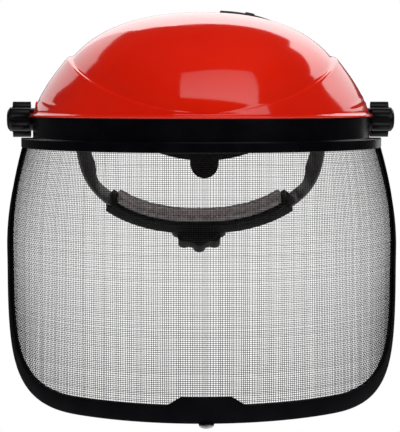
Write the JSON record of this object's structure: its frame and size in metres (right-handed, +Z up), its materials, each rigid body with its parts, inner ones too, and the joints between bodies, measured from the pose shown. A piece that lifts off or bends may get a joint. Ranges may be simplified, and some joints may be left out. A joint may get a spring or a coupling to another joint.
{
  "type": "mesh visor brow guard",
  "caption": "Forestry face shield: glossy brow guard with a wrapped mesh visor that tilts up on side knobs, on a ratchet headband worn on the head.",
  "frame": {"origin": "middle of the head on the axis of the two side pivots, level with the brow band", "axes": "+Z up, -Y the way the wearer looks, +X to the right of a viewer facing the visor"},
  "size_m": [0.273, 0.2408, 0.2652],
  "materials": {
    "guard_red": "glossy moulded ABS",
    "carrier_black": "glossy moulded",
    "screen_mesh": "woven mesh",
    "trim_black": "satin soft trim",
    "stud_steel": "satin",
    "band_black": "fine moulded grain",
    "pad_foam": "cloth-faced foam",
    "strap_black": "satin",
    "pivot_black": "satin",
    "bolt_steel": "zinc plated",
    "washer_grey": "matt",
    "knob_black": "semi-gloss",
    "insert_brass": "machined",
    "sleeve_black": "satin",
    "pinion_acetal": "smooth"
  },
  "bodies": {
    "headband": {"forehead_band": "band_black", "brow_pad": "pad_foam", "brow_stud": "band_black", "crown_strap_left": "strap_black", "crown_strap_right": "strap_black", "crown_peg": "strap_black", "pivot_arm_left": "pivot_black", "pivot_arm_right": "pivot_black", "pivot_bolt_left": "bolt_steel", "pivot_bolt_right": "bolt_steel", "friction_washers": "washer_grey", "knob_washers": "bolt_steel"},
    "visor": {"brow_guard": "guard_red", "pivot_bushes": "pivot_black", "visor_carrier": "carrier_black", "mesh_screen": "screen_mesh", "screen_clamp_strip": "carrier_black", "clamp_rivets": "pivot_black", "side_trim_left": "trim_black", "side_trim_right": "trim_black", "chin_trim": "trim_black", "chin_stud": "stud_steel"},
    "left_tilt_knob": {"tilt_knob_left": "knob_black", "knob_insert_left": "insert_brass"},
    "right_tilt_knob": {"tilt_knob_right": "knob_black", "knob_insert_right": "insert_brass"},
    "nape_straps": {"nape_strap_left": "strap_black", "nape_strap_right": "strap_black"},
    "nape_sleeve": {"nape_pad": "pad_foam", "sleeve_inner": "sleeve_black", "sleeve_outer": "sleeve_black", "detent_ring": "sleeve_black"},
    "size_knob": {"ratchet_knob": "knob_black", "detent_spring": "bolt_steel", "rack_pinion": "pinion_acetal", "ratchet_screw": "bolt_steel"}
  },
  "joints": [
    {"name": "visor_tilt", "type": "hinge", "parent": "headband", "child": "visor", "pos_m": [0, 0, 0], "axis": [-1, 0, 0], "range_deg": [0, 85]},
    {"name": "left_knob_turn", "type": "hinge", "parent": "headband", "child": "left_tilt_knob", "pos_m": [-0.127, 0, 0], "axis": [1, 0, 0], "range_deg": [0, 180]},
    {"name": "right_knob_turn", "type": "hinge", "parent": "headband", "child": "right_tilt_knob", "pos_m": [0.127, 0, 0], "axis": [1, 0, 0], "range_deg": [0, 180]},
    {"name": "nape_tilt", "type": "hinge", "parent": "headband", "child": "nape_straps", "pos_m": [0, 0, 0], "axis": [1, 0, 0], "range_deg": [-8, 45]},
    {"name": "size_slide", "type": "slide", "parent": "nape_straps", "child": "nape_sleeve", "axis": [0, -0.6428, 0.766], "range_m": [-0.006, 0.01], "deforming": ["nape_strap_left", "nape_strap_right"]},
    {"name": "size_knob_turn", "type": "hinge", "parent": "nape_sleeve", "child": "size_knob", "pos_m": [0, 0.07103, -0.08465], "axis": [0, -0.6428, 0.766], "range_deg": [-85, 140]}
  ],
  "couplings": [
    {"joint": "size_knob_turn", "follows": "size_slide", "rad_per_m": 238.1}
  ]
}
